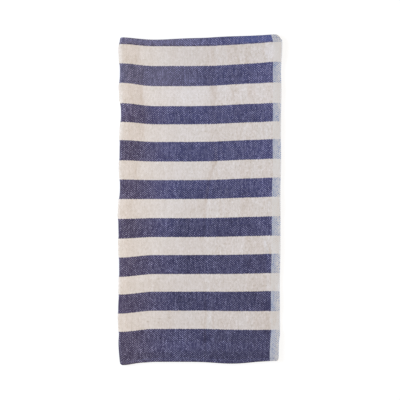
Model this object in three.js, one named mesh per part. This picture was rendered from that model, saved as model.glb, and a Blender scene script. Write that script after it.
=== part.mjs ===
// A square cotton washcloth, folded once lengthwise and laid flat.
// Millimetres, +Z up. The origin is the middle of the footprint, on the surface it lies on.
// The fold runs along -X, the two selvedges lie on each other along +X, and a turned hem
// runs along the head end (+Y) and along the foot end (-Y).
import * as THREE from 'three';

// Driving sizes
const CLOTH_LENGTH = 303.8; // hem edge to hem edge along the warp, at the middle of the upper layer
const CLOTH_WIDTH = 151.8; // fold to selvedge, across the warp
const LAYER = 1.2; // thickness of one layer of the coarse cotton
const LAYER_GAP = 0.8; // air between the two layers
const REST_GAP = 0.25; // air that is left where the upper layer all but rests on the lower one
const HEM_DEPTH = 5; // depth of each turned hem
const HEM_EXTRA = 0.9; // what the turned edge adds to the layer, on its inner side
const HEM_STEP = 1; // length over which the hem's thickness runs out
const HEM_ROUND = 0.4; // how far the folded hem edge is rounded off
const HEM_REACH = 44; // how far in from each end the layers are still propped apart by the hems
const UNDER_SHORT = 0.9; // how far the lower layer's hems lie inside the upper ones
const UNDER_SKEW = 0.4; // the lower layer's drift at the selvedge as a share of the upper one's

// The long edges seen from above, a row for each place along the cloth from head to foot.
// fold and selvedge are the x of the two edges, under is how far the hidden lower selvedge
// lies inside the upper one, roll is how far the cloth falls from the fold to the trough
// behind it, reach is the distance of that trough from the fold, and dip is its depth.
const EDGES = [
  { y: 153, fold: -74.7, selvedge: 76.4, under: 1.2, roll: 1.2, reach: 22, dip: 0.0 },
  { y: 140, fold: -76.0, selvedge: 77.0, under: 0.9, roll: 2.7, reach: 22, dip: 0.2 },
  { y: 118, fold: -75.2, selvedge: 75.9, under: 1.4, roll: 3.5, reach: 24, dip: 0.4 },
  { y: 100, fold: -75.8, selvedge: 76.3, under: 2.0, roll: 3.9, reach: 26, dip: 0.8 },
  { y: 80, fold: -74.2, selvedge: 75.9, under: 2.3, roll: 3.8, reach: 26, dip: 0.6 },
  { y: 58, fold: -75.2, selvedge: 75.8, under: 1.7, roll: 3.3, reach: 25, dip: 0.4 },
  { y: 28, fold: -75.7, selvedge: 75.9, under: 1.2, roll: 1.9, reach: 21, dip: 0.2 },
  { y: 10, fold: -75.2, selvedge: 75.3, under: 1.5, roll: 1.5, reach: 20, dip: 0.2 },
  { y: -10, fold: -76.8, selvedge: 75.4, under: 2.1, roll: 1.5, reach: 19, dip: 0.2 },
  { y: -50, fold: -76.1, selvedge: 75.3, under: 2.6, roll: 1.1, reach: 20, dip: 0.1 },
  { y: -80, fold: -76.0, selvedge: 74.7, under: 2.0, roll: 0.9, reach: 22, dip: 0.1 },
  { y: -100, fold: -76.9, selvedge: 74.8, under: 1.3, roll: 0.7, reach: 22, dip: 0.1 },
  { y: -122, fold: -76.2, selvedge: 75.0, under: 1.6, roll: 0.5, reach: 22, dip: 0.1 },
  { y: -133, fold: -76.6, selvedge: 74.0, under: 1.2, roll: 0.5, reach: 22, dip: 0.1 },
  { y: -153, fold: -75.0, selvedge: 73.6, under: 1.0, roll: 0.4, reach: 22, dip: 0.1 },
];
const ROLL_START = 3; // distance from the fold at which the roll begins to fall
const DIP_WIDTH = 8; // reach of the trough to either side of its line
const LIFT = { from: 46, to: 72, height: 1.3 }; // the x over which the upper layer rises to its selvedge

// Borders of the woven stripes along the cloth from head to foot, starting in blue at the head
// hem. The cream yarn is thicker, so the fold stands out at the cream stripes.
const STRIPE_BORDERS = [
  144.1, 125.6, 106.8, 88.1, 71.0, 54.5, 36.1, 18.7,
  0.9, -17.0, -34.8, -51.6, -69.5, -86.0, -103.9, -120.9,
];
const BORDER_REACH = 2.5; // length to either side of a border over which the fold steps out
const CREAM_PROUD = 0.7; // how far it stands out

// How far the weft threads and the hems drift along the cloth, a row for each place from head
// to foot. atFold and atSelvedge are the drift at the two long edges of the upper layer, and
// beside is a small extra drift between the middle and the selvedge.
const DRIFT = [
  { along: 151.9, atFold: 0.8, beside: 0.6, atSelvedge: 3.3 },
  { along: 143.9, atFold: 1.9, beside: 0.3, atSelvedge: 3.9 },
  { along: 125.3, atFold: 2.4, beside: 0.4, atSelvedge: 3.9 },
  { along: 106.5, atFold: 2.9, beside: 0.7, atSelvedge: 3.4 },
  { along: 70.7, atFold: 2.1, beside: 0.5, atSelvedge: 2.7 },
  { along: 35.9, atFold: 1.1, beside: 0.5, atSelvedge: 2.6 },
  { along: 0.7, atFold: 0.0, beside: 0.3, atSelvedge: 2.1 },
  { along: -35, atFold: -1.4, beside: 0.1, atSelvedge: 1.4 },
  { along: -51.9, atFold: -2.3, beside: -0.1, atSelvedge: 1.2 },
  { along: -86.3, atFold: -2.6, beside: -0.2, atSelvedge: 0.6 },
  { along: -121.2, atFold: -2.7, beside: -0.5, atSelvedge: -0.9 },
  { along: -151.9, atFold: -3.0, beside: -1.1, atSelvedge: 1.0 },
];
const DRIFT_FROM_FOLD = { from: 2, to: 34 }; // distance from the fold over which that drift fades
const DRIFT_TO_SELVEDGE = { from: 66, to: 143 }; // distance from the fold over which the other builds
const DRIFT_BESIDE = { middle: 112, reach: 34 }; // distance from the fold of the small extra drift

// The main ridge of the upper layer, a row for each place along the cloth from head to foot. It
// slants towards the fold at the foot. left and right are its reach on either side of its line.
const RIDGE = [
  { y: 150, x: -26, left: 24, right: 34, height: 0.5 },
  { y: 134, x: -27, left: 26, right: 36, height: 1.2 },
  { y: 112, x: 2, left: 32, right: 14, height: 1.1 },
  { y: 97, x: 9, left: 34, right: 12, height: 1.8 },
  { y: 63, x: 9, left: 26, right: 12, height: 1.2 },
  { y: 27, x: 8, left: 34, right: 10, height: 1.1 },
  { y: -8, x: -16, left: 26, right: 32, height: 1.7 },
  { y: -44, x: -30, left: 22, right: 40, height: 1.5 },
  { y: -80, x: -50, left: 18, right: 50, height: 0.6 },
  { y: -113, x: -40, left: 16, right: 18, height: 0.5 },
  { y: -150, x: -36, left: 14, right: 14, height: 0.2 },
];

// The other broad low swells (+) and hollows (-) of the upper layer, a row for each. headX and
// footX are the x of its line at its headY and footY ends, left and right are its reach to
// either side of the line, and fade is the length over which it runs out at each end.
const FOLDS = [
  {
    name: 'short swell at the head',
    headX: 28, footX: 30, headY: 150, footY: 70, left: 9, right: 9, height: 0.6, fade: 22,
  },
  {
    name: 'swell right of it',
    headX: 47, footX: 47, headY: 118, footY: 50, left: 8, right: 6, height: 0.4, fade: 16,
  },
  {
    name: 'swell at the middle',
    headX: 36, footX: 40, headY: 60, footY: -30, left: 14, right: 9, height: 0.5, fade: 24,
  },
  {
    name: 'short swell at the middle',
    headX: 20, footX: 20, headY: 12, footY: -28, left: 12, right: 12, height: 0.6, fade: 12,
  },
  {
    name: 'swell at the foot',
    headX: 40, footX: 46, headY: -20, footY: -150, left: 16, right: 18, height: 0.8, fade: 30,
  },
  {
    name: 'hollow at the foot',
    headX: 60, footX: 67, headY: -26, footY: -140, left: 7, right: 5, height: -0.6, fade: 20,
  },
];

// The corners at the selvedge, drawn in by their hems
const SELVEDGE_CORNERS = [
  { end: 1, drop: 5.4, across: 5.5, along: 6 },
  { end: -1, drop: 2.4, across: 1.6, along: 5 },
];
// The corners at the fold, rounded where the hems turn over
const FOLD_CORNERS = [
  { end: 1, drop: 0.5, across: 2, along: 5 },
  { end: -1, drop: 2.2, across: 2.2, along: 6 },
];

// The uneven edges of the hems: where an edge stands out (+) or in (-), over what reach, and how
// far into the cloth that goes.
const HEM_WAVES = [
  { end: 1, x: -44, reach: 40, shift: -1.5, depth: 7 },
  { end: 1, x: 18, reach: 26, shift: 0.5, depth: 7 },
  { end: -1, x: -60, reach: 12, shift: -0.5, depth: 7 },
  { end: -1, x: 24, reach: 34, shift: 1.0, depth: 7 },
];

// Steps of the mesh
const UNDER_STEPS = 13;
const BEND_STEPS = 8;
const UPPER_STEPS = 31;
const UPPER_CROWDING = 1.25; // crowds the upper steps towards the fold
const BODY_STEPS = 28;
const HEM_STEPS = [0, 0.4, 1.2, 3, HEM_DEPTH, HEM_DEPTH + HEM_STEP, 13, 22, 33, HEM_REACH];

const { clamp, lerp, smoothstep } = THREE.MathUtils;

// Reads one column of a table whose rows run from head to foot, on a smooth curve through the rows.
function readTable(rows, key, column, place) {
  const last = rows.length - 1;
  let row = 0;
  while (row < last - 1 && rows[row + 1][key] > place) {
    row += 1;
  }
  const slope = (index) => {
    const before = rows[Math.max(index - 1, 0)];
    const after = rows[Math.min(index + 1, last)];
    return (after[column] - before[column]) / (after[key] - before[key]);
  };
  const start = rows[row];
  const end = rows[row + 1];
  const span = end[key] - start[key];
  const s = clamp((place - start[key]) / span, 0, 1);
  const s2 = s * s;
  const s3 = s2 * s;
  return (2 * s3 - 3 * s2 + 1) * start[column]
    + (s3 - 2 * s2 + s) * span * slope(row)
    + (3 * s2 - 2 * s3) * end[column]
    + (s3 - s2) * span * slope(row + 1);
}

// A soft hump that is 1 on its line and 0 at its reach to either side.
function hump(offset, reach) {
  const s = clamp(Math.abs(offset) / reach, 0, 1);
  return (1 + Math.cos(Math.PI * s)) / 2;
}

const lopsidedHump = (offset, left, right) => hump(offset, offset < 0 ? left : right);

const fromEnd = (along) => CLOTH_LENGTH / 2 - Math.abs(along);

// What the turned hem adds on the inner side of a layer.
const hemExtra = (along) => HEM_EXTRA * (1 - smoothstep(fromEnd(along), HEM_DEPTH, HEM_DEPTH + HEM_STEP));

// How far the two hems prop the layers apart.
const hemProp = (along) => 2 * HEM_EXTRA * (1 - smoothstep(fromEnd(along), HEM_DEPTH + HEM_STEP, HEM_REACH));

// How far both faces draw together at the rounded edge of a hem.
function hemRounding(along) {
  const s = clamp(1 - fromEnd(along), 0, 1);
  return HEM_ROUND * s * s;
}

// 1 in a cream stripe and 0 in a blue one.
function creamShare(along) {
  let share = 0;
  STRIPE_BORDERS.forEach((border, i) => {
    share += (i % 2 ? 1 : -1) * smoothstep(along, border - BORDER_REACH, border + BORDER_REACH);
  });
  return share;
}

// Place of the folded edge.
const foldLine = (along) => readTable(EDGES, 'y', 'fold', along) - CREAM_PROUD * creamShare(along);

// Height of the layer's middle at the top of the fold.
const foldHeight = (along) => 1.5 * LAYER + LAYER_GAP + hemProp(along) + readTable(EDGES, 'y', 'roll', along);

// Keeps the upper layer off the lower one, on a soft curve.
function keptApart(height) {
  const over = height - 1.5 * LAYER;
  return 1.5 * LAYER + (over + Math.sqrt(over * over + 4 * REST_GAP * REST_GAP)) / 2;
}

// Height of the upper layer's middle, away from the fold.
function upperHeight(x, along) {
  const distance = x - foldLine(along);
  const edge = (column) => readTable(EDGES, 'y', column, along);
  let height = foldHeight(along) - edge('roll') * smoothstep(distance, ROLL_START, edge('reach'));
  height -= edge('dip') * hump(distance - edge('reach'), DIP_WIDTH);
  height += LIFT.height * smoothstep(x, LIFT.from, LIFT.to);
  const ridge = (column) => readTable(RIDGE, 'y', column, along);
  height += ridge('height') * lopsidedHump(x - ridge('x'), ridge('left'), ridge('right'));
  for (const fold of FOLDS) {
    const run = (fold.headY - along) / (fold.headY - fold.footY);
    const line = lerp(fold.headX, fold.footX, clamp(run, 0, 1));
    const inEnds = smoothstep(fold.headY - along, 0, fold.fade) * smoothstep(along - fold.footY, 0, fold.fade);
    height += fold.height * lopsidedHump(x - line, fold.left, fold.right) * inEnds;
  }
  return keptApart(height);
}

// How far a corner of a layer is drawn back from its square place.
function cornerDrop(corners, inFromEdge, along) {
  let drop = 0;
  for (const corner of corners) {
    if (Math.sign(along) === corner.end) {
      const across = clamp(1 - inFromEdge / corner.across, 0, 1);
      const near = 1 - smoothstep(fromEnd(along), 0, corner.along);
      drop -= corner.end * corner.drop * across * across * near;
    }
  }
  return drop;
}

// How far an uneven hem edge stands out or in.
function hemWave(distance, along) {
  let shift = 0;
  for (const wave of HEM_WAVES) {
    if (Math.sign(along) === wave.end) {
      const near = 1 - smoothstep(fromEnd(along), 0, wave.depth);
      shift += wave.end * wave.shift * hump(distance - CLOTH_WIDTH / 2 - wave.x, wave.reach) * near;
    }
  }
  return shift;
}

// Where a point of the cloth comes to lie along the length.
function driftedY(distance, width, along, layer) {
  const fadeFold = 1 - smoothstep(distance, DRIFT_FROM_FOLD.from, DRIFT_FROM_FOLD.to);
  const reach = DRIFT_TO_SELVEDGE.to - DRIFT_TO_SELVEDGE.from;
  const build = clamp((distance - DRIFT_TO_SELVEDGE.from) / reach, 0, 1) ** 2;
  const atFold = readTable(DRIFT, 'along', 'atFold', along);
  const atSelvedge = readTable(DRIFT, 'along', 'atSelvedge', along);
  const beside = readTable(DRIFT, 'along', 'beside', along);
  const foldDrop = cornerDrop(FOLD_CORNERS, distance, along);
  const selvedgeDrop = cornerDrop(SELVEDGE_CORNERS, width - distance, along);
  const dropped = along + atFold * fadeFold + foldDrop + selvedgeDrop + hemWave(distance, along);
  if (layer === 'under') {
    const short = (UNDER_SHORT * along * (1 - fadeFold)) / (CLOTH_LENGTH / 2);
    return dropped + UNDER_SKEW * atSelvedge * build - short;
  }
  return dropped + atSelvedge * build + beside * hump(distance - DRIFT_BESIDE.middle, DRIFT_BESIDE.reach);
}

// The place of the layer's middle and its outward direction, for a step across and a place along.
function middleOf(step, along) {
  const fold = foldLine(along);
  const selvedge = readTable(EDGES, 'y', 'selvedge', along);
  const width = selvedge - fold;
  const radius = (foldHeight(along) - LAYER / 2) / 2;
  const bendX = fold + LAYER / 2 + radius;
  if (step.layer === 'bend') {
    const x = bendX - radius * Math.sin(step.at);
    const z = LAYER / 2 + radius - radius * Math.cos(step.at);
    const out = { x: -Math.sin(step.at), z: -Math.cos(step.at) };
    return { x, y: driftedY(x - fold, width, along, 'upper'), z, out };
  }
  if (step.layer === 'under') {
    const edge = selvedge - readTable(EDGES, 'y', 'under', along);
    const x = lerp(bendX, edge, step.at);
    return { x, y: driftedY(x - fold, width, along, 'under'), z: LAYER / 2, out: { x: 0, z: -1 } };
  }
  const x = lerp(bendX, selvedge, step.at ** UPPER_CROWDING);
  return { x, y: driftedY(x - fold, width, along, 'upper'), z: upperHeight(x, along), out: { x: 0, z: 1 } };
}

// The steps across the cloth, from the lower selvedge round the fold to the upper selvedge.
function stepsAcross() {
  const steps = [];
  for (let i = 0; i < UNDER_STEPS; i += 1) {
    steps.push({ layer: 'under', at: 1 - i / UNDER_STEPS });
  }
  for (let i = 0; i < BEND_STEPS; i += 1) {
    steps.push({ layer: 'bend', at: (Math.PI * i) / BEND_STEPS });
  }
  for (let i = 0; i <= UPPER_STEPS; i += 1) {
    steps.push({ layer: 'upper', at: i / UPPER_STEPS });
  }
  return steps;
}

// The places along the cloth, from foot to head, close together in the hems.
function placesAlong() {
  const half = CLOTH_LENGTH / 2;
  const body = half - HEM_REACH;
  const places = HEM_STEPS.map((inward) => -half + inward);
  for (let i = 1; i < BODY_STEPS; i += 1) {
    places.push(lerp(-body, body, i / BODY_STEPS));
  }
  return places.concat(HEM_STEPS.map((inward) => half - inward).reverse());
}

// One closed sheet with its fold and its hems.
function foldedCloth() {
  const across = stepsAcross();
  const places = placesAlong();
  const geometry = new THREE.BoxGeometry(1, 1, 1, across.length - 1, places.length - 1, 1);
  const points = geometry.attributes.position;
  for (let i = 0; i < points.count; i += 1) {
    const step = across[Math.round((points.getX(i) + 0.5) * (across.length - 1))];
    const along = places[Math.round((points.getY(i) + 0.5) * (places.length - 1))];
    const middle = middleOf(step, along);
    const outside = points.getZ(i) > 0;
    const offset = outside ? LAYER / 2 : -LAYER / 2 - hemExtra(along);
    const reach = offset - Math.sign(offset) * hemRounding(along);
    points.setXYZ(i, middle.x + middle.out.x * reach, middle.y, middle.z + middle.out.z * reach);
  }
  geometry.computeVertexNormals();
  return geometry;
}

const cotton = new THREE.MeshStandardMaterial({ color: 0xd9cfc8, roughness: 0.95, metalness: 0 });
const cloth = new THREE.Mesh(foldedCloth(), cotton);
cloth.name = 'folded_cloth';

const group = new THREE.Group();
group.add(cloth);

export default group;
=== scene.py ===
# A square cotton washcloth, folded once lengthwise and laid flat, seen from straight above.
# Sizes are in millimetres, and turn into metres where a mesh is made.
# The fold runs along -X, the two selvedges along +X, the head hem along +Y and the foot hem along -Y.
import math
from types import SimpleNamespace

import bpy
import numpy as np
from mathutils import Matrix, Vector, noise


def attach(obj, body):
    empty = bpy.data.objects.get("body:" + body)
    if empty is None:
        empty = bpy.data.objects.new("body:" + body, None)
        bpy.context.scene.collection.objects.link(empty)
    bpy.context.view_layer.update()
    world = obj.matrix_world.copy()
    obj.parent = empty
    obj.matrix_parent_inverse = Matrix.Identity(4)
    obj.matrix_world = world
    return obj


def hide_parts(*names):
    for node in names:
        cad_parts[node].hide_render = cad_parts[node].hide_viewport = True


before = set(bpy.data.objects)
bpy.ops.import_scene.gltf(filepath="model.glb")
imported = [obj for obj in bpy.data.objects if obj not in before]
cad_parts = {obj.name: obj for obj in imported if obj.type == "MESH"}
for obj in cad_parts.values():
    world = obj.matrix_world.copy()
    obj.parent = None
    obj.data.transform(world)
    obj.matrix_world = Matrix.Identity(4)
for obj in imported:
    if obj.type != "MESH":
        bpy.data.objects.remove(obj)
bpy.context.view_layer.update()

MM = 0.001


def table(columns, *rows):
    """A short table: one array for each named column."""
    return {name: np.array(values, float) for name, values in zip(columns.split(), zip(*rows))}


# Driving sizes
CLOTH_LENGTH = 303.8  # hem edge to hem edge along the warp
HALF = CLOTH_LENGTH / 2
CLOTH_WIDTH = 151.8  # fold to selvedge, across the warp
LAYER = 1.2  # room that one layer takes up
CLOTH = 1.0  # thickness of the woven cloth itself
LAYER_GAP = 0.8  # air between the two layers at the fold
REST_GAP = 0.25  # air that is left where the upper layer all but rests on the lower one
HEM_DEPTH = 5.0
HEM_EXTRA = 0.9  # how much thicker a hem is than a layer
HEM_STEP = 1.0  # length over which it gets thicker
HEM_REACH = 44.0  # how far from the end the hems still prop the layers apart
HEM_PLY = 1.04  # distance between the middles of a hem's two plies
UNDER_SHORT = 0.9  # how far the lower layer's ends lie inside the upper one's
UNDER_SKEW = 0.4  # share of the drift at the selvedge that the lower layer has

# The long edges seen from above, from head to foot. roll is how far the cloth falls from the fold
# to the trough behind it, reach is the distance of that trough from the fold, and dip is its depth.
EDGES = table(
    "y fold selvedge under roll reach dip",
    (153, -74.7, 76.4, 1.2, 1.2, 22, 0.0),
    (140, -76.0, 77.0, 0.9, 2.7, 22, 0.2),
    (118, -75.2, 75.9, 1.4, 3.5, 24, 0.4),
    (100, -75.8, 76.3, 2.0, 3.9, 26, 0.8),
    (80, -74.2, 75.9, 2.3, 3.8, 26, 0.6),
    (58, -75.2, 75.8, 1.7, 3.3, 25, 0.4),
    (28, -75.7, 75.9, 1.2, 1.9, 21, 0.2),
    (10, -75.2, 75.3, 1.5, 1.5, 20, 0.2),
    (-10, -76.8, 75.4, 2.1, 1.5, 19, 0.2),
    (-50, -76.1, 75.3, 2.6, 1.1, 20, 0.1),
    (-80, -76.0, 74.7, 2.0, 0.9, 22, 0.1),
    (-100, -76.9, 74.8, 1.3, 0.7, 22, 0.1),
    (-122, -76.2, 75.0, 1.6, 0.5, 22, 0.1),
    (-133, -76.6, 74.0, 1.2, 0.5, 22, 0.1),
    (-153, -75.0, 73.6, 1.0, 0.4, 22, 0.1),
)
CREAM_PROUD = 0.7  # how far the fold stands out at the cream stripes, whose yarn is thicker
PROUD_BLEND = 2.5  # reach of the change at a border
ROLL_START = 3  # distance from the fold at which the roll begins to fall
DIP_WIDTH = 8  # reach of the trough to either side of its line
LIFT = (46, 72, 1.3)  # where the upper layer begins and ends to rise towards its selvedge, and by how much

# How far the weft threads and the hems drift along the cloth
DRIFT = table(
    "along atFold beside atSelvedge",
    (151.9, 0.8, 0.6, 3.3),
    (143.9, 1.9, 0.3, 3.9),
    (125.3, 2.4, 0.4, 3.9),
    (106.5, 2.9, 0.7, 3.4),
    (70.7, 2.1, 0.5, 2.7),
    (35.9, 1.1, 0.5, 2.6),
    (0.7, 0.0, 0.3, 2.1),
    (-35, -1.4, 0.1, 1.4),
    (-51.9, -2.3, -0.1, 1.2),
    (-86.3, -2.6, -0.2, 0.6),
    (-121.2, -2.7, -0.5, -0.9),
    (-151.9, -3.0, -1.1, 1.0),
)
DRIFT_FROM_FOLD = (2, 34)  # distances from the fold over which the drift at the fold dies away
DRIFT_TO_SELVEDGE = (66, 143)  # and those over which the one at the selvedge builds up
DRIFT_BESIDE = (112, 34)  # distance at which the drift in between is greatest, and its reach

# The main ridge of the upper layer, which slants towards the fold at the foot. left and right are
# its reach on either side.
RIDGE = table(
    "y x left right height",
    (150, -26, 24, 34, 0.5),
    (134, -27, 26, 36, 1.2),
    (112, 2, 32, 14, 1.1),
    (97, 9, 34, 12, 1.8),
    (63, 9, 26, 12, 1.2),
    (27, 8, 34, 10, 1.1),
    (-8, -16, 26, 32, 1.7),
    (-44, -30, 22, 40, 1.5),
    (-80, -50, 18, 50, 0.6),
    (-113, -40, 16, 18, 0.5),
    (-150, -36, 14, 14, 0.2),
)

# The other broad low swells (+) and hollows (-) of the upper layer
FOLDS = table(
    "headX footX headY footY left right height fade",
    (28, 30, 150, 70, 9, 9, 0.6, 22),
    (47, 47, 118, 50, 8, 6, 0.4, 16),
    (36, 40, 60, -30, 14, 9, 0.5, 24),
    (20, 20, 12, -28, 12, 12, 0.6, 12),
    (40, 46, -20, -150, 16, 18, 0.8, 30),
    (60, 67, -26, -140, 7, 5, -0.6, 20),
)

# The crease down the middle, where the cloth has been folded before
CENTRE_CREASE = table(
    "y x width depth",
    (150, 8, 5, 0.2),
    (134, 14.5, 5, 0.5),
    (119, 15, 6, 0.4),
    (97, 15.5, 6, 0.5),
    (63, 12.5, 4.5, 0.2),
    (36, 17, 2.8, 0.6),
    (29, 13, 2.8, 0.7),
    (20, 10.5, 2.8, 0.7),
    (-8, 6.4, 2.4, 0.95),
    (-44, 5, 4, 0.1),
    (-80, 5.7, 2.6, 0.4),
    (-108, 6.5, 2.6, 0.8),
    (-121, 6, 3, 0.9),
    (-150, 6, 3, 0.2),
)

# The finer creases, listed from head to foot, each mostly within a cream stripe. width is the
# reach to either side of the line. depth is that of a trough, or of a ridge where it is negative. fall is
# how far the cloth steps down to the right across the line, to rise again slowly, or steps up where it
# is negative.
CREASES = table(
    "headX footX headY footY width depth fall",
    # first cream stripe
    (-36, -36, 146, 122, 5, 0, -0.4),
    (-24, -24, 147, 124, 2.5, 0, 0.25),
    (-6, -6, 146, 122, 4, 0, -0.4),
    (9, 10, 147, 120, 4.5, 0, 0.5),
    (15, 16, 147, 120, 3, 0, 0.3),
    (26, 26, 146, 120, 3, 0, 0.4),
    (29, 30, 146, 120, 5, 0.1, 0.9),
    (38, 37, 146, 120, 3, 0.2, 0.2),
    (42, 42, 146, 120, 4, 0, 0.6),
    (61, 60, 147, 126, 1.5, 0.5, 0.1),
    (65.5, 65.5, 147, 124, 3.4, 0, -1.6),
    # second cream stripe
    (-54.5, -54.5, 108, 86, 2.8, 0, 0.45),
    (-22.5, -22, 112, 84, 2.2, 0.25, 0),
    (-20, -20, 108, 88, 2, 0, 0.4),
    (24, 25, 108, 90, 3, -0.3, 0),
    (31, 32.5, 106, 90, 1.6, 0.5, 0.4),
    (41, 41, 108, 88, 3.5, 0, -0.6),
    (46.5, 47, 110, 90, 3, 0, 0.6),
    (58, 58, 108, 90, 6, 0, -0.9),
    (66.5, 67, 106, 92, 1.6, 0.2, 0),
    # third cream stripe
    (-55, -54, 74, 52, 2.8, 0, 0.35),
    (-12, -12, 76, 52, 9, -0.2, 0),
    (-2.5, -2.5, 76, 54, 3, 0, -0.3),
    (13, 13, 76, 54, 5, 0, -0.4),
    (35, 36, 78, 50, 1.8, 0.15, 0.25),
    (54.5, 54.5, 76, 54, 3.5, 0, -0.4),
    (62, 62, 76, 52, 3, 0, -0.3),
    (64, 64, 76, 52, 3, 0, -1.3),
    # fourth cream stripe
    (-60, -60, 36, 16, 1.6, 0.15, 0.1),
    (-41, -41, 38, 16, 6, 0, -0.4),
    (-34, -33, 36, 14, 1.8, 0.15, 0),
    (-22, -21, 38, 16, 3, 0, -0.15),
    (-8, -8, 38, 16, 5, 0, -0.4),
    (30, 31, 38, 18, 3, 0, -0.4),
    (38, 40, 38, 16, 1.8, -0.1, 0.3),
    (40, 40, 38, 16, 8, 0, -0.7),
    (50, 47, 32, 18, 3.5, 0.6, 0.1),
    (60, 60, 38, 20, 1.8, -0.25, 0),
    # fifth cream stripe
    (-63.5, -63, 4, -18, 2.2, 0.25, 0.1),
    (-9, -9, 2, -18, 4, 0, 0.4),
    (0, 2, 2, -18, 4, 0, 0.6),
    (5.5, 6, 4, -18, 2.2, 0.45, 0.15),
    (17, 18, 4, -18, 4, 0, 0.4),
    (20, 21.5, 2, -18, 2.2, 0.5, 0.1),
    (40, 41, 4, -20, 2.4, 0, 0.4),
    (54, 55, 4, -18, 5, 0, -0.6),
    (64.5, 64.5, 4, -18, 3, 0, -1),
    # sixth cream stripe
    (-35, -40, -34, -54, 1.6, 0.2, 0.2),
    (-11, -9, -34, -56, 4, 0, 0.4),
    (1, 3, -34, -56, 2.5, 0, 0.3),
    (17, 14, -34, -56, 2.2, -0.15, 0.2),
    (26.5, 26.5, -32, -54, 3, 0, 0.4),
    (29, 31, -32, -54, 2.2, 0.2, 0.2),
    (43, 48, -34, -56, 3, 0, 0.3),
    (51, 57, -34, -56, 3, 0, 0.4),
    (60.5, 65, -32, -54, 1.8, -1.2, 0),
    (64.5, 64.5, -32, -54, 3, 0, -1.1),
    # seventh cream stripe
    (-52, -52, -70, -92, 1.8, 0.1, 0.2),
    (-44, -48, -70, -90, 1.8, 0.2, 0.1),
    (-10, -6, -70, -92, 6, 0, 0.3),
    (50, 52, -70, -90, 2.5, 0, 0.4),
    (62, 62, -70, -88, 2, 0.4, 0.1),
    (68, 68, -68, -90, 3, 0, 0.9),
    # eighth cream stripe
    (-50, -50, -102, -124, 5, 0, -0.35),
    (-28, -27, -100, -124, 4, 0, 0.7),
    (1, 1, -102, -126, 3, 0, 0.3),
    (11, 11, -102, -124, 2.6, -0.5, 0),
    (20, 22, -102, -126, 3, 0.1, 0.5),
    (27, 28, -102, -126, 7, 0, 0.5),
    (32, 34, -102, -126, 4, 0, 0.4),
    (41, 42, -102, -124, 5, 0, -0.8),
    (47.5, 47.5, -102, -124, 2.5, 0, -0.5),
    (53, 55, -102, -128, 3, 0.1, 0.3),
    (64.6, 65, -118, -129, 1.8, 0.7, 0),
    (65, 68, -108, -124, 2.4, 0.4, 0.1),
    (69, 69, -102, -124, 3.5, 0, 1.9),
)
FALL_RETURN = 7  # how many widths a fall takes to rise again
CREASE_SWAY = 0.15  # how far a crease sways from its line, in widths
CREASE_SWAY_RATE = 0.9  # radians for each millimetre along the cloth
CREASE_ENDS = 0.7  # how bluntly a crease ends
FINE_FROM_FOLD = (4, 14)  # the distances from the fold over which creases and cockles set in

# The small unevenness of a washed cloth: soft cockles, puckers along the warp and slanting wrinkles.
# They are higher by more on the right, and slantX and slantY tell how far each axis leans.
COCKLES = table(
    "height more across along slantX slantY seed",
    (0.3, 0, 11, 15, 0, 0, 3.1),
    (0.13, 0.08, 4.2, 11, 0, 0, 8.7),
    (0.05, 0.1, 2.8, 6, -0.6, 0.3, 5.2),
)
COCKLES_RIGHT = (-10, 50)
COCKLES_FROM_HEM = 9

# The corners that the hems draw in: which end, how far, and over what distances
SELVEDGE_CORNERS = table("end drop across along", (1, 5.4, 5.5, 6), (-1, 2.4, 1.6, 5))
FOLD_CORNERS = table("end drop across along", (1, 0.5, 2, 5), (-1, 2.2, 2.2, 6))

# The uneven edges of the hems: where an edge stands out (+) or in (-), and over what reach
HEM_WAVES = table(
    "end x reach shift depth",
    (1, -44, 40, -1.5, 7),
    (1, 18, 26, 0.5, 7),
    (-1, -60, 12, -0.5, 7),
    (-1, 24, 34, 1.0, 7),
)

# Borders of the stripes along the cloth from head to foot, starting in blue at the head hem
STRIPE_BORDERS = (
    144.1, 125.6, 106.8, 88.1, 71.0, 54.5, 36.1, 18.7,
    0.9, -17.0, -34.8, -51.6, -69.5, -86.0, -103.9, -120.9,
)

# Width of the pale woven selvedge
SELVEDGE_STRIP = table(
    "along width",
    (152, 9.9),
    (145, 8.6),
    (126, 7.7),
    (90, 7.6),
    (10, 7.75),
    (-60, 8.2),
    (-122, 8.25),
    (-152, 8.5),
)
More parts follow.
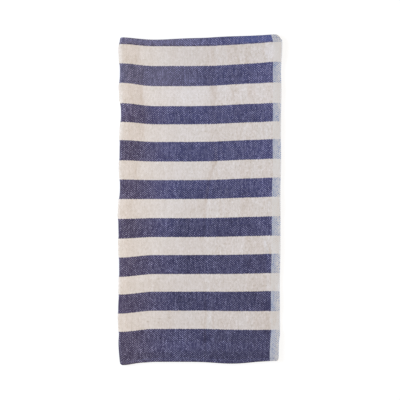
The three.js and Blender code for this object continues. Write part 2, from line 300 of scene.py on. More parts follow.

# Where the cloth is lighter (+) or darker (-), in its own sizes across and along. STAINS change the cream
# stripes, with three broad patches and then nine small stains, and the next table changes the blue ones,
# partly as uneven tone and partly as painted shade and light, such as the dark band near the foot hem.
STAINS = table(
    "across along wide high change",
    (145, 135, 16, 16, 0.09),
    (62, 97.5, 64, 16, 0.06),
    (128, 97.5, 36, 16, 0.06),
    (5.5, 91, 1.4, 2.2, -0.12),
    (81, 64.2, 1.8, 1.4, -0.24),
    (80.5, -8.6, 1.6, 1.2, -0.14),
    (37.6, -74, 2.6, 1.3, -0.18),
    (34.8, -82.2, 2, 1.1, -0.12),
    (90.4, -83.6, 1.8, 1.1, -0.12),
    (48.8, -110.8, 2, 1.3, -0.15),
    (39.4, -111.4, 2.4, 1.3, -0.16),
    (28, -113.8, 2.2, 1.4, -0.18),
)
BLUE_TONE_AND_SHADE = table(
    "across along wide high change",
    (39, -10, 16, 260, 0.1),
    (62, -20, 16, 220, -0.14),
    (140, 40, 12, 200, 0.16),
    (4, 141, 14, 18, -0.12),
    (95, 116, 34, 16, -0.12),
    (128, 116, 20, 16, 0.07),
    (14, 80, 24, 9, 0.08),
    (54.5, 80, 6, 12, -0.1),
    (8, 79, 12, 14, 0.15),
    (59, 45, 26, 16, 0.08),
    (126, 45, 22, 16, 0.14),
    (96, 10, 32, 16, -0.08),
    (127, 10, 12, 12, 0.09),
    (8, -26, 14, 16, -0.12),
    (40, -26, 60, 12, -0.06),
    (96, -26, 32, 16, -0.13),
    (36.5, -61, 6, 12, -0.14),
    (50, -61, 26, 12, 0.06),
    (122, -61, 30, 12, 0.08),
    (95, -94, 14, 12, 0.08),
    (76, -128.5, 130, 5, -0.12),
    (59, -136, 32, 26, 0.17),
    (76, -136, 130, 6, 0.15),
    (4, -142, 10, 26, -0.14),
    (76, -145.5, 130, 7, -0.16),
)

# The weave. Its threads wander by some threads to either side, over these sizes across and along.
WARP_PITCH = 1.165
WEFT_PITCH = 0.978
WARP_WANDER = table("across along threads seed", (10, 22, 1.8, 1.5), (3.2, 8, 1.3, 1.7))
WEFT_WANDER = table("across along threads seed", (22, 10, 1.4, 4.5), (8, 3.2, 1.0, 4.7))
BORDER_BLUR = 0.25  # reach of the change of colour at a stripe's border
STRIP_BLUR = 0.35  # and at the selvedge strip's
HEAD_ROW = 144.9  # a darker line beside the border of the head hem's stripe
FOOT_SHADE_EDGE = -151.7  # and painted shade along the rolled outer edge of the foot hem, from here out to the edge
RELIEF = 0.2  # height of the threads' bump

# The hem stitches, of which only the upper layer's show
STITCH_IN = 3.0  # distance from the hem's edge
STITCH_PITCH = 3.1
STITCH_LENGTH = 2.2
STITCH_RADIUS = 0.2
STITCH_SINK = 0.3  # how far a stitch's ends go into the cloth
STITCH_LEAN = 0.12
STITCH_LEAN_RATE = 2.4  # how fast the lean changes along the hem

# The turns of the weft at the selvedges
TURN_WEFTS = 2  # wefts to a turn
TURN_OUT = -0.1  # how far the middle line of a turn stands out of the edge
TURN_IN = 0.4  # how far its ends lie inside
TURN_RADIUS = 0.24
THREAD_SIDES = 6
THREAD_ENDS = ((3, 2, 1, 0), (5, 4, 3, 0))  # the two quads that close a thread's six-sided end
THREAD_STEPS = 7

# What strip_place's second number says of a point: 0 on the sheet, or these
TURN_MARK = 0.5
STITCH_MARK = 1.0


def read_table(rows, key, column, place):
    """One column of a table whose rows run from head to foot, on a smooth curve through the rows."""
    keys, values = rows[key], rows[column]
    last = len(keys) - 1
    before = np.maximum(np.arange(last + 1) - 1, 0)
    after = np.minimum(np.arange(last + 1) + 1, last)
    slopes = (values[after] - values[before]) / (keys[after] - keys[before])
    row = np.clip(np.searchsorted(-keys, -np.asarray(place)) - 1, 0, last - 1)
    span = keys[row + 1] - keys[row]
    s = np.clip((place - keys[row]) / span, 0, 1)
    return (
        (2 * s**3 - 3 * s**2 + 1) * values[row]
        + (s**3 - 2 * s**2 + s) * span * slopes[row]
        + (3 * s**2 - 2 * s**3) * values[row + 1]
        + (s**3 - s**2) * span * slopes[row + 1]
    )


def smoothstep(value, low, high):
    s = np.clip((value - low) / (high - low), 0, 1)
    return s * s * (3 - 2 * s)


def lerp(a, b, share):
    return a + (b - a) * share


def hump(offset, reach):
    """1 on its line and 0 at its reach to either side, rounded."""
    return (1 + np.cos(np.pi * np.clip(np.abs(offset) / reach, 0, 1))) / 2


def from_end(along):
    return HALF - np.abs(along)


def cream_share(along):
    """1 in a cream stripe and 0 in a blue one."""
    share = 0.0
    for i, border in enumerate(STRIPE_BORDERS):
        side = 1 if i % 2 else -1
        share = share + side * smoothstep(along, border - PROUD_BLEND, border + PROUD_BLEND)
    return share


def fold_line(along):
    return read_table(EDGES, "y", "fold", along) - CREAM_PROUD * cream_share(along)


def hem_prop(along):
    """How far the two hems prop the layers apart."""
    return 2 * HEM_EXTRA * (1 - smoothstep(from_end(along), HEM_DEPTH + HEM_STEP, HEM_REACH))


def fold_height(along):
    """Height of the layer's middle at the top of the fold."""
    return 1.5 * LAYER + LAYER_GAP + hem_prop(along) + read_table(EDGES, "y", "roll", along)


def lopsided_hump(offset, left, right):
    return hump(offset, np.where(offset < 0, left, right))


def broad_folds(x, along):
    ridge = {name: read_table(RIDGE, "y", name, along) for name in RIDGE if name != "y"}
    height = ridge["height"] * lopsided_hump(x - ridge["x"], ridge["left"], ridge["right"])
    for head_x, foot_x, head_y, foot_y, left, right, rise, fade in zip(*FOLDS.values()):
        run = np.clip((head_y - along) / (head_y - foot_y), 0, 1)
        in_ends = smoothstep(head_y - along, 0, fade) * smoothstep(along - foot_y, 0, fade)
        height = height + rise * lopsided_hump(x - lerp(head_x, foot_x, run), left, right) * in_ends
    return height


def fine_creases(x, along):
    crease = {name: read_table(CENTRE_CREASE, "y", name, along) for name in CENTRE_CREASE if name != "y"}
    height = -crease["depth"] * hump(x - crease["x"], crease["width"])
    for head_x, foot_x, head_y, foot_y, width, depth, fall in zip(*CREASES.values()):
        run = (head_y - along) / (head_y - foot_y)
        in_ends = np.sin(np.pi * np.clip(run, 0, 1)) ** CREASE_ENDS
        sway = CREASE_SWAY * width * np.sin(CREASE_SWAY_RATE * along + head_x)
        offset = x - lerp(head_x, foot_x, run) + sway
        step = smoothstep(offset, -width, width) * (1 - smoothstep(offset, width, FALL_RETURN * width))
        height = height - (depth * hump(offset, width) + fall * step) * in_ends
    return height


def noise_field(x, y, scale_x, scale_y, seed):
    """Smooth noise from -1 to 1 at each point, longer along y where scale_y is larger."""
    flat = [
        noise.noise(Vector((a / scale_x, b / scale_y, seed)))
        for a, b in zip(np.ravel(x), np.ravel(y))
    ]
    return np.array(flat).reshape(np.shape(x))


def cockle(x, along):
    """Height of the small unevenness, which dies away at the hems."""
    right = smoothstep(x, *COCKLES_RIGHT)
    height = 0.0
    for rise, more, across, reach, slant_x, slant_y, seed in zip(*COCKLES.values()):
        wave = noise_field(x + slant_x * along, along + slant_y * x, across, reach, seed)
        height = height + (rise + more * right) * wave
    return height * smoothstep(from_end(along), 0, COCKLES_FROM_HEM)


def kept_apart(height):
    """Keeps the upper layer off the lower one, on a soft curve."""
    over = height - 1.5 * LAYER
    return 1.5 * LAYER + (over + np.sqrt(over**2 + 4 * REST_GAP**2)) / 2


def upper_height(x, along):
    """Height of the upper layer's middle, away from the fold."""
    distance = x - fold_line(along)
    roll = read_table(EDGES, "y", "roll", along)
    reach = read_table(EDGES, "y", "reach", along)
    dip = read_table(EDGES, "y", "dip", along)
    height = fold_height(along) - roll * smoothstep(distance, ROLL_START, reach)
    height = height - dip * hump(distance - reach, DIP_WIDTH)
    start, end, rise = LIFT
    height = height + rise * smoothstep(x, start, end)
    fine = fine_creases(x, along) + cockle(x, along)
    return kept_apart(height + broad_folds(x, along) + fine * smoothstep(distance, *FINE_FROM_FOLD))


def corner_drop(corners, in_from_edge, along):
    drop = 0.0
    for end, most, across, reach in zip(*corners.values()):
        share = np.clip(1 - in_from_edge / across, 0, 1) ** 2
        near = 1 - smoothstep(from_end(along), 0, reach)
        drop = drop - end * most * share * near * (np.sign(along) == end)
    return drop


def drifted_y(distance, width, along, under):
    """Where a point of the cloth comes to lie along the length."""
    from_fold = 1 - smoothstep(distance, *DRIFT_FROM_FOLD)
    start, end = DRIFT_TO_SELVEDGE
    build = np.clip((distance - start) / (end - start), 0, 1) ** 2
    at_fold = read_table(DRIFT, "along", "atFold", along)
    at_selvedge = read_table(DRIFT, "along", "atSelvedge", along)
    beside = read_table(DRIFT, "along", "beside", along)
    drop = corner_drop(FOLD_CORNERS, distance, along)
    drop = drop + corner_drop(SELVEDGE_CORNERS, width - distance, along)
    dropped = along + at_fold * from_fold + drop
    for end, wave_x, reach, shift, depth in zip(*HEM_WAVES.values()):
        near = (1 - smoothstep(from_end(along), 0, depth)) * (np.sign(along) == end)
        dropped = dropped + end * shift * hump(distance - CLOTH_WIDTH / 2 - wave_x, reach) * near
    lower = dropped + UNDER_SKEW * at_selvedge * build - UNDER_SHORT * along * (1 - from_fold) / HALF
    middle, reach = DRIFT_BESIDE
    upper = dropped + at_selvedge * build + beside * hump(distance - middle, reach)
    return np.where(under, lower, upper)


# Steps across the cloth: the layer, and the share of the way across it or the angle round the fold
UNDER_STEPS = 46
BEND_STEPS = 12
UPPER_STEPS = 150
UPPER_CROWDING = 1.12


def steps_across():
    under = [("under", 1 - i / UNDER_STEPS) for i in range(UNDER_STEPS)]
    bend = [("bend", math.pi * i / BEND_STEPS) for i in range(BEND_STEPS)]
    upper = [("upper", (i / UPPER_STEPS) ** UPPER_CROWDING) for i in range(UPPER_STEPS + 1)]
    return under + bend + upper


# Steps along the cloth, from the raw edge inside the foot hem to the one inside the head hem
TURN_STEPS = 6
PLY_STEPS = (5.0, 3.6, 2.2)
HEM_BODY_STEPS = (1.2, 2.2, 3.2, 4.1, 4.8, 5.5, 6.4)
BODY_STEP = 1.45


def steps_along():
    """Rows of where a step is along the cloth, how far its ply lies inside the outer ply, and its turn."""
    radius = HEM_PLY / 2
    turn_at = HALF - CLOTH / 2 - radius
    ply = [(HALF - depth, HEM_PLY, math.pi) for depth in PLY_STEPS]
    turn = []
    for i in range(TURN_STEPS + 1):
        angle = math.pi * (1 - i / TURN_STEPS)
        turn.append((turn_at + radius * math.sin(angle), radius * (1 - math.cos(angle)), angle))
    hem = [(HALF - depth, 0.0, 0.0) for depth in HEM_BODY_STEPS]
    end = ply + turn + hem
    inner = HALF - HEM_BODY_STEPS[-1]
    count = round(2 * inner / BODY_STEP)
    body = [(lerp(-inner, inner, i / count), 0.0, 0.0) for i in range(1, count)]
    foot = [(-along, inset, turned) for along, inset, turned in end]
    return foot + body + end[::-1]


def middle_of(layer, at, along):
    """Middle of the layer, its outward direction and its place across the flat cloth."""
    fold = fold_line(along)
    selvedge = read_table(EDGES, "y", "selvedge", along)
    width = selvedge - fold
    radius = (fold_height(along) - LAYER / 2) / 2
    bend_x = fold + LAYER / 2 + radius
    level = np.zeros_like(along)
    bend_share = (bend_x - fold) / width
    if layer == "bend":
        x = bend_x - radius * math.sin(at)
        z = LAYER / 2 + radius - radius * math.cos(at)
        y = drifted_y(x - fold, width, along, False)
        out = np.stack([level - math.sin(at), level, level - math.cos(at)], -1)
        across = CLOTH_WIDTH * bend_share * (2 * at / math.pi - 1)
    elif layer == "under":
        edge = selvedge - read_table(EDGES, "y", "under", along)
        x = lerp(bend_x, edge, at)
        y = drifted_y(x - fold, width, along, True)
        z = level + LAYER / 2
        out = np.stack([level, level, level - 1], -1)
        across = -CLOTH_WIDTH * lerp(bend_share, 1, at)
    else:
        x = lerp(bend_x, selvedge, at)
        y = drifted_y(x - fold, width, along, False)
        z = upper_height(x, along)
        out = np.stack([level, level, level + 1], -1)
        across = CLOTH_WIDTH * lerp(bend_share, 1, at)
    return np.stack([x, y, z], -1), out, across


def grid_faces(rows, columns, first=0):
    """Quads of a grid of points, row by row."""
    corner = first + np.arange(rows - 1)[:, None] * columns + np.arange(columns - 1)[None, :]
    return np.stack([corner, corner + 1, corner + columns + 1, corner + columns], -1).reshape(-1, 4)


def rim_faces(ring_a, ring_b):
    """Quads between two rows of points of the same length."""
    return np.stack([ring_a[:-1], ring_a[1:], ring_b[1:], ring_b[:-1]], -1)


def new_mesh_piece(name, points, faces, material):
    mesh = bpy.data.meshes.new(name)
    mesh.from_pydata((np.asarray(points) * MM).tolist(), [], np.asarray(faces).tolist())
    mesh.polygons.foreach_set("use_smooth", np.ones(len(mesh.polygons), bool))
    mesh.materials.append(material)
    piece = bpy.data.objects.new(name, mesh)
    bpy.context.scene.collection.objects.link(piece)
    return piece


def store_points_uv(mesh, name, values):
    """A UV map that holds two numbers for each point."""
    layer = mesh.uv_layers.new(name=name)
    corners = np.zeros(len(mesh.loops), np.int32)
    mesh.loops.foreach_get("vertex_index", corners)
    layer.data.foreach_set("uv", values[corners].astype(np.float32).ravel())


def store_places(mesh, place):
    """Where each point is on the cloth, for the weave, and whether it is a stitch or a turn."""
    store_points_uv(mesh, "thread_place", place[:, :2])
    store_points_uv(mesh, "strip_place", place[:, 2:])


def cloth_sheet(material):
    """One closed sheet of cloth with its fold and its turned hems."""
    across_steps = steps_across()
    stations = np.array(steps_along())
    along, inset, turned = stations.T
    end = np.sign(along)
    outer, inner, places = [], [], []
    strip_width = read_table(SELVEDGE_STRIP, "along", "width", along)
    # cloth length used up by the turn, so that the threads of the turned ply keep their pitch
    thread = np.where(turned > 0, end * (HALF - CLOTH / 2 - HEM_PLY / 2 + turned * HEM_PLY / 2), along)
    thread = np.where(turned >= math.pi, 2 * end * (HALF - CLOTH / 2) - along, thread)
    for layer, at in across_steps:
        middle, out, across = middle_of(layer, at, along)
        away = np.stack([np.zeros_like(end), end, np.zeros_like(end)], -1)
        face_out = out * np.cos(turned)[:, None] + away * np.sin(turned)[:, None]
        ply = middle + out * ((LAYER - CLOTH) / 2 - inset)[:, None]
        outer.append(ply + face_out * CLOTH / 2)
        inner.append(ply - face_out * CLOTH / 2)
        strip_in = np.abs(across) - CLOTH_WIDTH + strip_width
        places.append(np.stack([across, thread, strip_in, np.zeros_like(strip_in)], -1))
    rows, columns = len(across_steps), len(stations)
    points = np.concatenate([np.concatenate(outer), np.concatenate(inner)])
    place = np.concatenate([np.concatenate(places)] * 2)
    count = rows * columns
    index = np.arange(count).reshape(rows, columns)
    faces = [
        grid_faces(rows, columns)[:, ::-1],
        grid_faces(rows, columns, count),
        rim_faces(index[0], index[0] + count)[:, ::-1],
        rim_faces(index[-1], index[-1] + count),
        rim_faces(index[:, 0], index[:, 0] + count),
        rim_faces(index[:, -1], index[:, -1] + count)[:, ::-1],
    ]
    piece = new_mesh_piece("cloth_sheet", points, np.concatenate(faces), material)
    store_places(piece.data, place)
    return piece


def threads_piece(name, paths, radius, place, material):
    """Many short threads as one mesh. Each row of paths is the middle line of a thread."""
    count, steps = paths.shape[:2]
    run = np.gradient(paths, axis=1)
    run = run / np.linalg.norm(run, axis=-1, keepdims=True)
    side = np.cross(run, (0.0, 0.0, 1.0))
    side = side / np.linalg.norm(side, axis=-1, keepdims=True)
    rise = np.cross(side, run)
    angle = np.arange(THREAD_SIDES) * 2 * np.pi / THREAD_SIDES
    around = side[:, :, None] * np.cos(angle)[:, None] + rise[:, :, None] * np.sin(angle)[:, None]
    points = paths[:, :, None] + radius * around
    index = np.arange(count * steps * THREAD_SIDES).reshape(count, steps, THREAD_SIDES)
    wrapped = np.concatenate([index, index[:, :, :1]], -1)
    walls = [wrapped[:, :-1, :-1], wrapped[:, :-1, 1:], wrapped[:, 1:, 1:], wrapped[:, 1:, :-1]]
    ends = np.array(THREAD_ENDS)
    faces = [np.stack(walls, -1).reshape(-1, 4)]
    faces += [index[:, 0, end] for end in ends]
    faces += [index[:, -1, end[::-1]] for end in ends]
    piece = new_mesh_piece(name, points.reshape(-1, 3), np.concatenate(faces), material)
    place = np.broadcast_to(place[:, None, None, :], (count, steps, THREAD_SIDES, 4))
    store_places(piece.data, place.reshape(-1, 4))
    return piece


def hem_stitches(material):
    """The running stitches along both hems, on the upper layer."""
    share = np.linspace(0, 1, THREAD_STEPS)
    starts = np.arange(STITCH_PITCH, CLOTH_WIDTH - STITCH_PITCH, STITCH_PITCH)
    at = (starts[:, None] + STITCH_LENGTH * share) / CLOTH_WIDTH
    lean = STITCH_LEAN * np.sin(STITCH_LEAN_RATE * starts)[:, None] * (share - 0.5)
    above = LAYER / 2 + STITCH_RADIUS / 2 - STITCH_SINK * (1 - np.sin(np.pi * share))
    paths, places = [], []
    for end in (1, -1):
        along = end * (HALF - STITCH_IN) + lean
        middle, _, across = middle_of("upper", at, along)
        middle[..., 2] += above
        paths.append(middle)
        outside, mark = np.full_like(starts, -1), np.full_like(starts, STITCH_MARK)
        places.append(np.stack([across[:, 0], along[:, 0], outside, mark], -1))
    paths, places = np.concatenate(paths), np.concatenate(places)
    return threads_piece("hem_stitches", paths, STITCH_RADIUS, places, material)


def weft_turns(material):
    """The turns of the weft round the outermost warp, along the selvedges of both layers."""
    pitch = TURN_WEFTS * WEFT_PITCH
    starts = np.arange(pitch - HALF, HALF - pitch, pitch)
    angle = np.linspace(-np.pi / 2, np.pi / 2, THREAD_STEPS)
    along = starts[:, None] + pitch / 2 * np.sin(angle)
    width = read_table(SELVEDGE_STRIP, "along", "width", starts)
    paths, places = [], []
    for layer in ("under", "upper"):
        middle, _, across = middle_of(layer, np.ones_like(along), along)
        middle[..., 0] += (TURN_OUT + TURN_IN) * np.cos(angle) - TURN_IN
        paths.append(middle)
        mark = np.full_like(starts, TURN_MARK)
        places.append(np.stack([across[:, 0], starts, width, mark], -1))
    paths, places = np.concatenate(paths), np.concatenate(places)
    return threads_piece("weft_turns", paths, TURN_RADIUS, places, material)


class Graph:
    """Short ways to add nodes to a material."""

    def __init__(self, name):
        self.material = bpy.data.materials.new(name)
        self.material.use_nodes = True
        self.tree = self.material.node_tree
        self.shader = self.tree.nodes["Principled BSDF"]

    def put(self, socket, value):
        if isinstance(value, bpy.types.NodeSocket):
            self.tree.links.new(value, socket)
        elif isinstance(value, tuple) and len(value) == 3 and socket.type == "RGBA":
            socket.default_value = (*value, 1.0)
        else:
            socket.default_value = value

    def node(self, kind, inputs=None, **settings):
        made = self.tree.nodes.new(kind)
        for key, value in settings.items():
            setattr(made, key, value)
        for key, value in (inputs or {}).items():
            self.put(made.inputs[key], value)
        return made

    def math(self, operation, a, b=0.0, c=0.0):
        return self.node("ShaderNodeMath", {0: a, 1: b, 2: c}, operation=operation).outputs[0]

    def add(self, *terms):
        total = terms[0]
        for term in terms[1:]:
            total = self.math("ADD", total, term)
        return total

    def times(self, *factors):
        total = factors[0]
        for factor in factors[1:]:
            total = self.math("MULTIPLY", total, factor)
        return total

    def smooth(self, value, low, high, start=0.0, end=1.0):
        """start below low, end above high, and a soft step between them."""
        inputs = {"Value": value, "From Min": low, "From Max": high, "To Min": start, "To Max": end}
        return self.node("ShaderNodeMapRange", inputs, interpolation_type="SMOOTHSTEP").outputs[0]

    def vector(self, x, y, z=0.0):
        return self.node("ShaderNodeCombineXYZ", {0: x, 1: y, 2: z}).outputs[0]

    def stored(self, name):
        """The two numbers that a UV map holds for each point."""
        found = self.node("ShaderNodeUVMap", uv_map=name).outputs[0]
        return self.node("ShaderNodeSeparateXYZ", {0: found}).outputs[:2]

    def noise(self, x, y, reach_x, reach_y, seed, detail=1.0, roughness=0.5):
        """Smooth noise from about -0.5 to 0.5, in patches of a given reach along x and y."""
        place = self.vector(self.times(x, 1 / reach_x), self.times(y, 1 / reach_y), seed)
        inputs = {"Vector": place, "Scale": 1.0, "Detail": detail, "Roughness": roughness}
        made = self.node("ShaderNodeTexNoise", inputs, noise_dimensions="3D")
        return self.math("SUBTRACT", made.outputs[0], 0.5)

    def random(self, x, y, seed):
        """A number from -0.5 to 0.5 for each whole x and y."""
        cell = self.vector(self.math("ROUND", x), self.math("ROUND", y), seed)
        made = self.node("ShaderNodeTexWhiteNoise", {"Vector": cell}, noise_dimensions="3D")
        return self.math("SUBTRACT", made.outputs[0], 0.5)

    def patches(self, x, y, rows):
        """The sum of soft oval patches, each with its own reaches and change."""
        total = 0.0
        for middle_x, middle_y, wide, high, change in zip(*rows.values()):
            off_x = self.math("MULTIPLY_ADD", x, 1 / wide, -middle_x / wide)
            off_y = self.math("MULTIPLY_ADD", y, 1 / high, -middle_y / high)
            off = self.node("ShaderNodeVectorMath", {0: self.vector(off_x, off_y)}, operation="LENGTH")
            total = self.add(total, self.smooth(off.outputs["Value"], 0.1, 1.0, change, 0.0))
        return total

    def mix(self, share, a, b, blend="MIX"):
        made = self.node("ShaderNodeMix", data_type="RGBA", blend_type=blend)
        self.put(made.inputs[0], share)
        self.put(made.inputs[6], a)
        self.put(made.inputs[7], b)
        return made.outputs[2]

    def scale(self, color, amount):
        """A colour made lighter or darker by a number."""
        return self.mix(1.0, color, self.vector(amount, amount, amount), "MULTIPLY")

    def tinted(self, color, uneven):
        """A colour made lighter and cooler where uneven is above 0, and darker and warmer below."""
        shares = [self.math("MULTIPLY_ADD", uneven, share, 1.0) for share in (0.85, 1.0, 1.3)]
        return self.mix(1.0, color, self.vector(*shares), "MULTIPLY")


def linear(red, green, blue):
    """A colour given by its values from 0 to 255, as the shaders take it."""
    def one(value):
        value = value / 255
        return value / 12.92 if value <= 0.04045 else ((value + 0.055) / 1.055) ** 2.4
    return (one(red), one(green), one(blue))


NAVY_YARN = linear(73, 73, 112)
NAVY_YARN_FOOT = linear(67, 65, 98)
NAVY_YARN_GREY = linear(79, 69, 94)
NAVY_YARN_FADED = linear(87, 87, 126)
NAVY_YARN_WORN = linear(97, 92, 116)
# dark colour for a line beside the head hem and for painted shade along the foot hem's rolled edge
NAVY_DARK_LINE_AND_SHADE = linear(66, 54, 72)
NAVY_YARN_HEM = linear(84, 92, 142)
NAVY_FLECK = linear(140, 138, 173)
NAVY_FLECK_GREY = linear(146, 137, 159)
CREAM_YARN = linear(223, 212, 205)
CREAM_YARN_WARM = linear(228, 212, 198)
SELVEDGE_YARN = linear(226, 220, 215)
STITCH_YARN = linear(112, 110, 146)
SELVEDGE_WEFT = linear(126, 145, 186)


def wandering(g, number, across, along, rows):
    """A thread number that wanders, as the threads of an uneven handloom cloth do."""
    for reach_across, reach_along, threads, seed in zip(*rows.values()):
        number = g.add(number, g.times(g.noise(across, along, reach_across, reach_along, seed), threads))
    return number


def woven_threads(g, across, along):
    """The crossings of the threads, and what differs between them and over the cloth."""
    warp = wandering(g, g.times(across, 1 / WARP_PITCH), across, along, WARP_WANDER)
    weft = wandering(g, g.times(along, 1 / WEFT_PITCH), across, along, WEFT_WANDER)
    warp_wave = g.math("COSINE", g.times(warp, math.pi))
    weft_wave = g.math("COSINE", g.times(weft, math.pi))
    speck = g.noise(across, along, 1.3, 1.7, 6.5)
    return SimpleNamespace(
        warp_wave=warp_wave,
        crossing=g.times(warp_wave, weft_wave),
        each_warp=g.random(warp, 0.0, 7.0),
        each_weft=g.random(0.0, weft, 8.0),
        each_crossing=g.random(warp, weft, 9.0),
        fibre=g.random(g.times(warp, 2.0), weft, 10.0),
        streak=g.noise(across, along, 2.2, 11, 2.5, detail=2.0),
        fine_streak=g.noise(across, along, 1.3, 9, 2.7),
        patch=g.noise(across, along, 6, 6, 3.5, detail=3.0, roughness=0.6),
        slub=g.noise(across, along, 1.15, 2.2, 5.5),
        speck=g.times(speck, speck, speck, 16.0),
    )


def blue_stripes(g, along, threads):
    """1 in the blue stripes and 0 in the cream ones, with borders that step from thread to thread."""
    stepped = g.add(along, g.times(threads.warp_wave, 0.12), g.times(threads.each_warp, 0.25))
    blue = 1.0
    for i, border in enumerate(STRIPE_BORDERS):
        step = g.smooth(stepped, border - BORDER_BLUR, border + BORDER_BLUR)
        blue = g.math("SUBTRACT" if i % 2 else "ADD", blue, step)
    return g.math("MINIMUM", g.math("MAXIMUM", blue, 0.0), 1.0)


def warp_on_top(g, threads, in_strip):
    """1 where the warp shows: as light flecks in a blue stripe, and all over the selvedge strip."""
    exposed = g.add(
        g.times(threads.streak, 0.2),
        g.times(threads.fine_streak, 1.7),
        g.times(threads.patch, 0.3),
        g.times(threads.each_warp, 0.25),
        g.times(threads.each_crossing, 0.3),
        g.times(threads.fibre, 1.1),
        in_strip,
    )
    return g.smooth(g.add(threads.crossing, exposed), 0.2, 0.8)


def painted_fold_highlight(g, across, along):
    """Painted highlight along the fold, where the rolled edge faces the light: how much lighter the cloth
    is painted there, mostly in the foot half.
    """
    near_fold = g.smooth(g.math("ABSOLUTE", across), 4, 13, 0.05, 0.0)
    return g.times(near_fold, g.smooth(along, -20, 30, 1.0, 0.2))


def blue_yarns(g, across, along, threads):
    """The blue weft, and the warp where it shows between the blue.

    The blue is greyer towards the fold, darker at the foot, faded towards the head, and bluest in the head
    hem.
    It carries painted light too: a highlight on the head hem, which faces the light, a highlight along the
    fold, painted shade along the rolled edge of the foot hem, and some painted shade among its patches.
    """
    grey_side = g.smooth(across, 4, 60, 1.0, 0.0)
    foot = g.smooth(along, -60, 10, 1.0, 0.0)
    faded = g.times(g.smooth(along, 75, 120), g.smooth(across, 60, 95, 1.0, 0.4))
    worn = g.times(g.smooth(along, 85, 105), g.smooth(across, 45, 100, 1.0, 0.0))
    in_hem = g.smooth(along, 142, 147)
    head_row = g.smooth(g.math("ABSOLUTE", g.add(along, -HEAD_ROW)), 0.3, 0.9, 1.0, 0.0)
    # painted shade along the rolled outer edge of the foot hem
    foot_shade = g.smooth(along, FOOT_SHADE_EDGE, FOOT_SHADE_EDGE + 1.1, 1.0, 0.0)
    dark_line_and_foot_shade = g.times(g.add(head_row, foot_shade), g.smooth(across, 60, 110, 0.7, 0.25))
    weft = g.mix(grey_side, g.mix(foot, NAVY_YARN, NAVY_YARN_FOOT), NAVY_YARN_GREY)
    weft = g.mix(faded, weft, NAVY_YARN_FADED)
    weft = g.mix(worn, weft, NAVY_YARN_WORN)
    weft = g.mix(g.times(in_hem, g.smooth(across, 95, 125)), weft, NAVY_YARN_HEM)
    weft = g.mix(dark_line_and_foot_shade, weft, NAVY_DARK_LINE_AND_SHADE)
    # patches of uneven tone in the blue, some of them painted shade and light
    tone_and_shade = g.patches(across, along, BLUE_TONE_AND_SHADE)
    # painted highlight on the head hem, which faces the light
    hem_painted_highlight = g.times(in_hem, g.smooth(across, 30, 120, 0.17, 0.085))
    weft_light = g.add(
        0.985,
        tone_and_shade,
        hem_painted_highlight,
        # painted highlight along the fold
        g.times(painted_fold_highlight(g, across, along), 2.0),
        g.times(threads.each_weft, 0.15),
        g.times(threads.patch, 0.3),
        g.times(threads.speck, 1.3),
    )
    fleck_light = g.add(
        0.86,
        tone_and_shade,
        hem_painted_highlight,
        g.times(faded, 0.14),
        g.times(foot, g.smooth(across, 20, 90, 0.0, -0.14)),
        g.times(threads.each_crossing, threads.each_crossing, 1.7),
    )
    fleck = g.mix(grey_side, NAVY_FLECK, NAVY_FLECK_GREY)
    return g.scale(weft, weft_light), g.scale(fleck, fleck_light)


def cream_yarn(g, across, along, threads):
    """The cream weft, which is warmer towards the fold."""
    light = g.add(
        1.0,
        # painted highlight along the fold
        painted_fold_highlight(g, across, along),
        g.smooth(along, 105, 130, 0.0, -0.02),
        g.smooth(along, -75, -50, -0.015, 0.0),
    )
    uneven = g.add(
        g.times(threads.each_weft, 0.03),
        g.times(threads.each_crossing, 0.05),
        g.times(threads.streak, 0.12),
        g.times(threads.patch, 0.12),
        g.times(threads.slub, g.smooth(across, 60, 110, 0.32, 0.5)),
        g.times(threads.speck, g.smooth(across, 40, 110, 0.35, 0.5)),
        g.patches(across, along, STAINS),
    )
    yarn = g.mix(g.smooth(across, 0, 70, 1.0, 0.0), CREAM_YARN, CREAM_YARN_WARM)
    return g.tinted(g.scale(yarn, light), uneven)


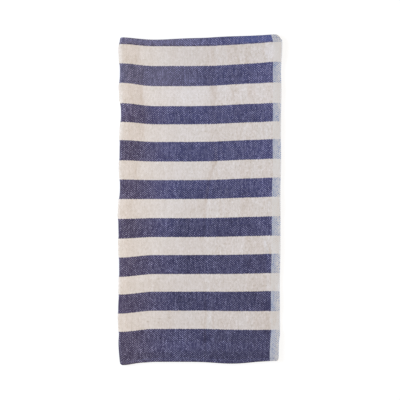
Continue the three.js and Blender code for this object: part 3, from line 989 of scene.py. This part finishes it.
def striped_cotton():
    """Plain weave: cream warp, and a weft in blue and cream stripes that nearly hides it."""
    g = Graph("striped_cotton")
    across, along = g.stored("thread_place")
    strip_in, mark = g.stored("strip_place")
    threads = woven_threads(g, across, along)
    blue = blue_stripes(g, along, threads)
    in_strip = g.smooth(strip_in, -STRIP_BLUR, STRIP_BLUR)
    warp_up = warp_on_top(g, threads, in_strip)
    navy, fleck = blue_yarns(g, across, along, threads)
    cream = cream_yarn(g, across, along, threads)

    strip_blue = g.times(blue, g.smooth(strip_in, 1.5, 7, 0.34, 0.06), g.smooth(along, 143, 148, 1.0, 0.5))
    strip_warp = g.mix(strip_blue, SELVEDGE_YARN, SELVEDGE_WEFT)
    warp_yarn = g.mix(in_strip, g.mix(blue, g.scale(cream, 0.95), fleck), strip_warp)
    weft_yarn = g.mix(blue, cream, g.mix(in_strip, navy, SELVEDGE_WEFT))
    woven = g.mix(warp_up, weft_yarn, warp_yarn)

    # painted shade: the hollows between the threads are painted darker, mostly in the blue stripes
    hollow = g.math("SUBTRACT", 1.0, g.math("ABSOLUTE", threads.crossing))
    hollow_shade = g.math("MULTIPLY_ADD", blue, g.math("MULTIPLY_ADD", in_strip, -0.12, 0.24), 0.06)
    woven = g.scale(woven, g.math("SUBTRACT", 1.0, g.times(hollow, hollow_shade)))

    turn = g.scale(g.mix(g.times(blue, 0.35), cream, SELVEDGE_WEFT), 0.92)
    color = g.mix(g.math("GREATER_THAN", mark, TURN_MARK / 2), woven, turn)
    color = g.mix(g.math("GREATER_THAN", mark, (TURN_MARK + STITCH_MARK) / 2), color, STITCH_YARN)
    g.put(g.shader.inputs["Base Color"], color)

    relief = g.add(
        g.math("ABSOLUTE", threads.crossing),
        g.times(warp_up, 0.3),
        g.times(threads.streak, 1.2),
    )
    bump = g.node("ShaderNodeBump", {"Strength": 0.6, "Distance": RELIEF * MM, "Height": relief})
    g.put(g.shader.inputs["Normal"], bump.outputs[0])
    g.put(g.shader.inputs["Roughness"], 0.92)
    g.put(g.shader.inputs["Specular IOR Level"], 0.2)
    g.put(g.shader.inputs["Sheen Weight"], 0.12)
    g.put(g.shader.inputs["Sheen Roughness"], 0.5)
    return g.material


# The floor and the light
FLOOR_SIDE = 6000
FLOOR_DROP = 0.02  # keeps the floor clear of the cloth's underside
FLOOR_GLOW = 0.85
PANEL_COLOR = (0.76, 1.0, 1.28)
ROOM_COLOR = (1.12, 1.0, 0.87)
ROOM_STRENGTH = 0.48


def floor():
    g = Graph("white_floor")
    g.put(g.shader.inputs["Base Color"], (0.2, 0.2, 0.2))
    g.put(g.shader.inputs["Roughness"], 0.9)
    g.put(g.shader.inputs["Emission Color"], (1.0, 1.0, 1.0))
    g.put(g.shader.inputs["Emission Strength"], FLOOR_GLOW)
    signs = ((-1, -1), (1, -1), (1, 1), (-1, 1))
    corners = [(x * FLOOR_SIDE / 2, y * FLOOR_SIDE / 2, -FLOOR_DROP) for x, y in signs]
    piece = new_mesh_piece("floor", corners, [(0, 1, 2, 3)], g.material)


def area_light(name, place, side, power, color):
    """A square panel that shines on the middle of the cloth, with its place and side in metres."""
    light = bpy.data.lights.new(name, "AREA")
    light.shape = "SQUARE"
    light.size = side
    light.energy = power
    light.color = color
    piece = bpy.data.objects.new(name, light)
    piece.location = place
    piece.rotation_euler = (-Vector(place)).to_track_quat("-Z", "Y").to_euler()
    bpy.context.scene.collection.objects.link(piece)


def studio():
    """Soft light: a cool window-like panel on the left, a weak warm one on the right, and a warm room."""
    area_light("left_panel", place=(-0.55, 0.1, 0.58), side=0.4, power=4.2, color=PANEL_COLOR)
    area_light("right_panel", place=(1.6, -0.3, 1.2), side=1.2, power=6, color=ROOM_COLOR)
    world = bpy.data.worlds.new("studio")
    world.use_nodes = True
    background = world.node_tree.nodes["Background"]
    background.inputs["Color"].default_value = (*ROOM_COLOR, 1.0)
    background.inputs["Strength"].default_value = ROOM_STRENGTH
    bpy.context.scene.world = world
    bpy.context.scene.view_settings.view_transform = "Standard"
    # keeps the fine weave, which is only a pixel or two wide, from being smoothed away as noise
    bpy.context.scene.cycles.denoising_prefilter = "NONE"


# The photograph's frame
FRAME_WIDTH = 375.2  # what the frame takes in, at FOCUS_HEIGHT above the floor
FOCUS_HEIGHT = 4.0
LENS = 150
SENSOR = 36


def camera():
    data = bpy.data.cameras.new("camera")
    data.lens = LENS
    data.sensor_width = SENSOR
    piece = bpy.data.objects.new("camera", data)
    piece.location = (0.0, 0.0, (FOCUS_HEIGHT + FRAME_WIDTH * LENS / SENSOR) * MM)
    bpy.context.scene.collection.objects.link(piece)
    bpy.context.scene.camera = piece


cotton = striped_cotton()
sheet = cloth_sheet(cotton)
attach(sheet, "root")
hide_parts("folded_cloth")
sewn = [hem_stitches(cotton), weft_turns(cotton)]
for piece in sewn:
    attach(piece, "root")
floor()
studio()
camera()
